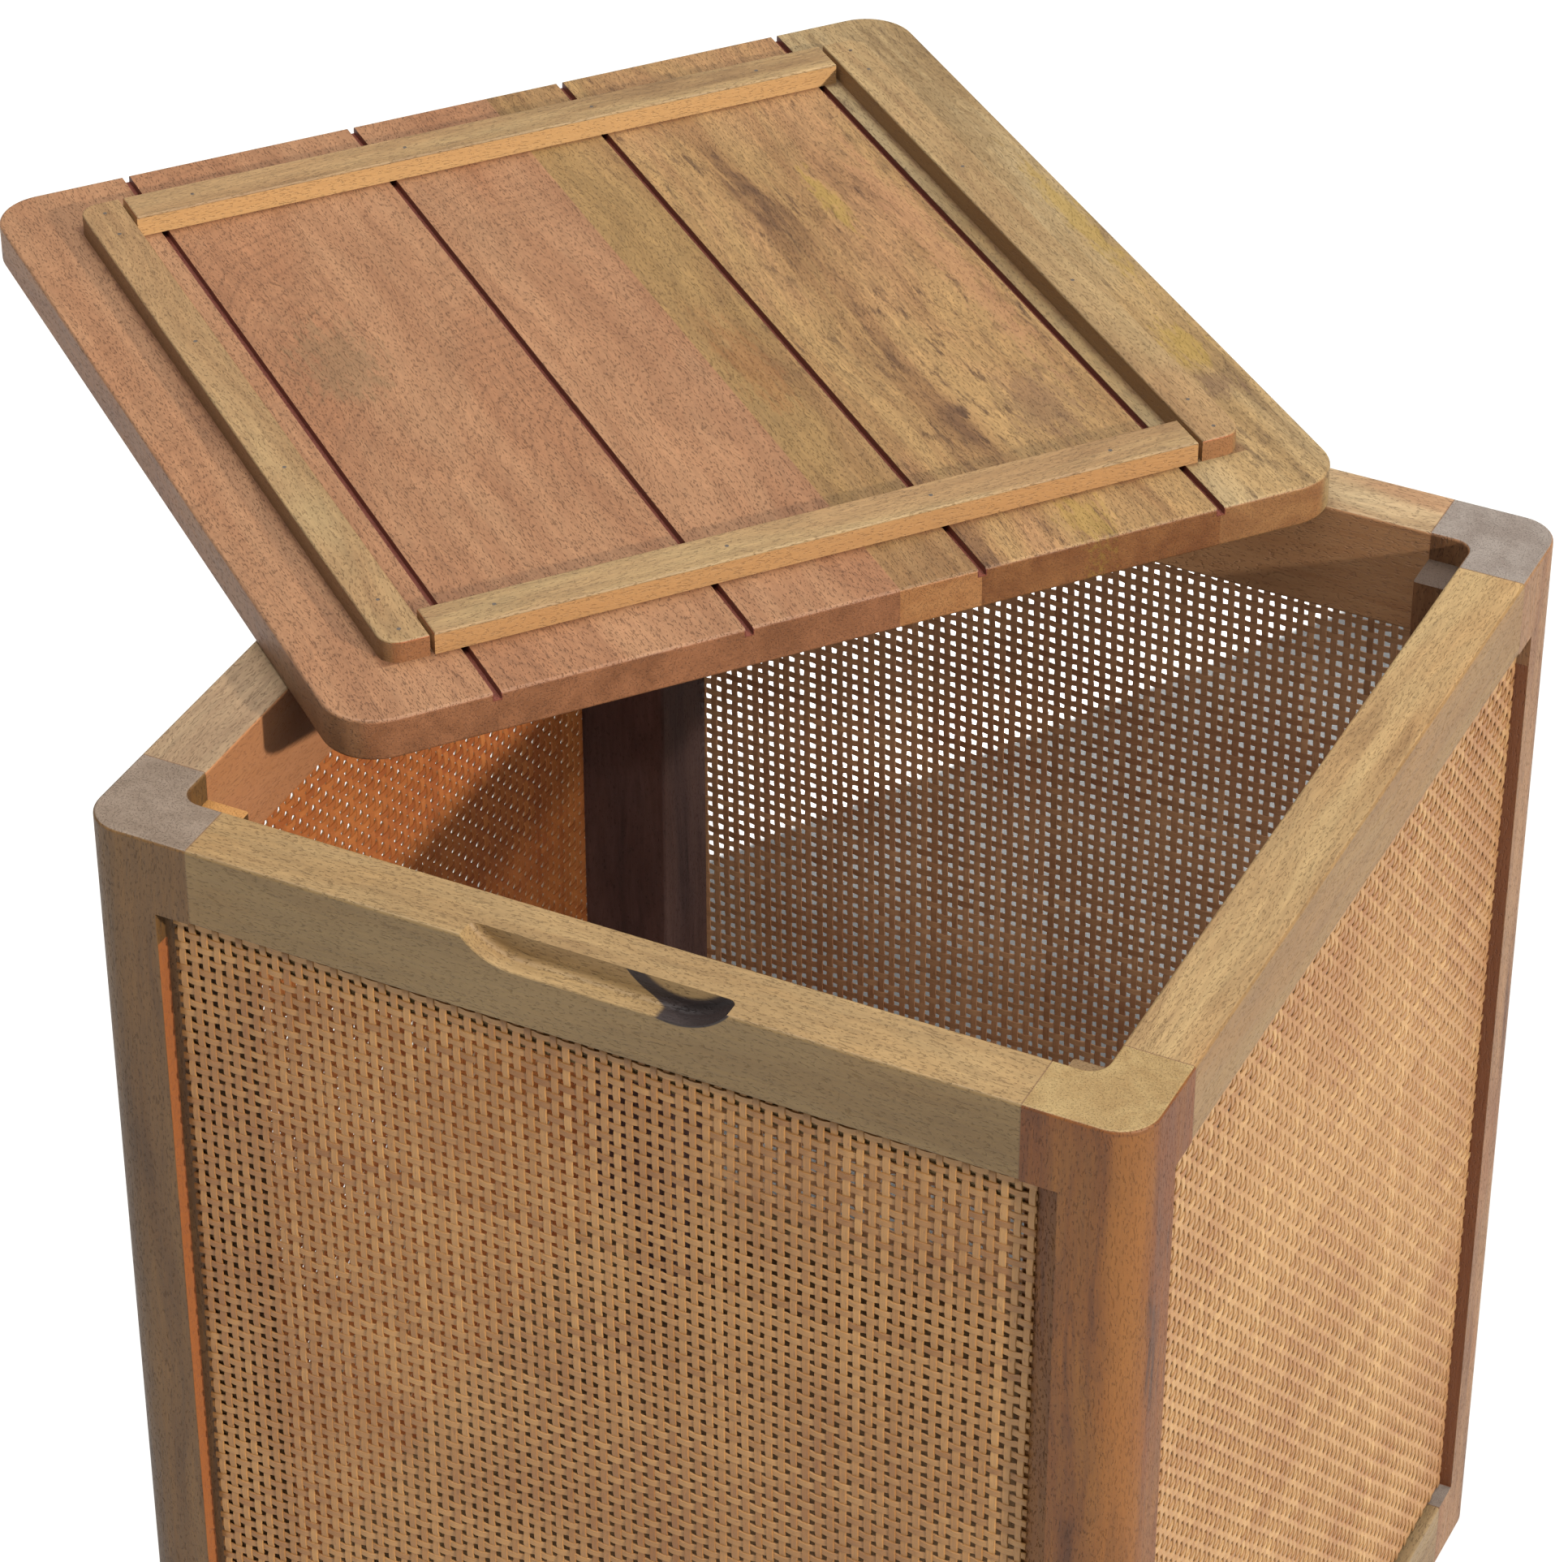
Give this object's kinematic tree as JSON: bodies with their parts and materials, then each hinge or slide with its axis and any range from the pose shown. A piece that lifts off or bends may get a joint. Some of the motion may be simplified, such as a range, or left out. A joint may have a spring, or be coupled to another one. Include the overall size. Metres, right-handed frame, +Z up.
{
  "type": "laundry hamper",
  "caption": "Square wooden laundry hamper with woven cane side panels, a finger scoop in the front rail and a loose slab lid lying across the top.",
  "frame": {"origin": "centre of the hamper's underside, where it stands on the floor", "axes": "+Z up, -Y is the front with the finger scoop, +X is the right-hand side seen from the front"},
  "size_m": [0.7094, 0.6964, 0.5823],
  "materials": {
    "mango_post": "satin oiled mango wood, grain upright",
    "mango_rail": "satin oiled mango wood, grain along the rail",
    "cane": "natural cane strands, plain woven",
    "dowel_wood": "plain hardwood dowel",
    "board_wood": "plain board",
    "lid_wood": "satin oiled mango wood, grain along the boards",
    "batten_wood": "satin oiled mango wood, paler",
    "steel": "screws and pins"
  },
  "bodies": {
    "hamper": {"post_front_left": "mango_post", "post_front_right": "mango_post", "post_back_right": "mango_post", "post_back_left": "mango_post", "top_rail_front": "mango_rail", "bottom_rail_front": "mango_rail", "top_rail_right": "mango_rail", "bottom_rail_right": "mango_rail", "top_rail_back": "mango_rail", "bottom_rail_back": "mango_rail", "top_rail_left": "mango_rail", "bottom_rail_left": "mango_rail", "upper_rail_dowels": "dowel_wood", "lower_rail_dowels": "dowel_wood", "cane_panel_front": "cane", "cane_panel_right": "cane", "cane_panel_back": "cane", "cane_panel_left": "cane", "base_board": "board_wood", "base_screws": "steel"},
    "lid": {"lid_board_1": "lid_wood", "lid_board_2": "lid_wood", "lid_board_3": "lid_wood", "lid_board_4": "lid_wood", "lid_board_5": "lid_wood", "lid_board_6": "lid_wood", "lid_batten_left": "batten_wood", "lid_batten_right": "batten_wood", "lid_batten_front": "batten_wood", "lid_batten_back": "batten_wood", "lid_batten_pins": "steel"}
  },
  "joints": [
    {"name": "lid_lift", "type": "slide", "parent": "hamper", "child": "lid", "axis": [0, 0, 1], "range_m": [0, 0.4]}
  ]
}
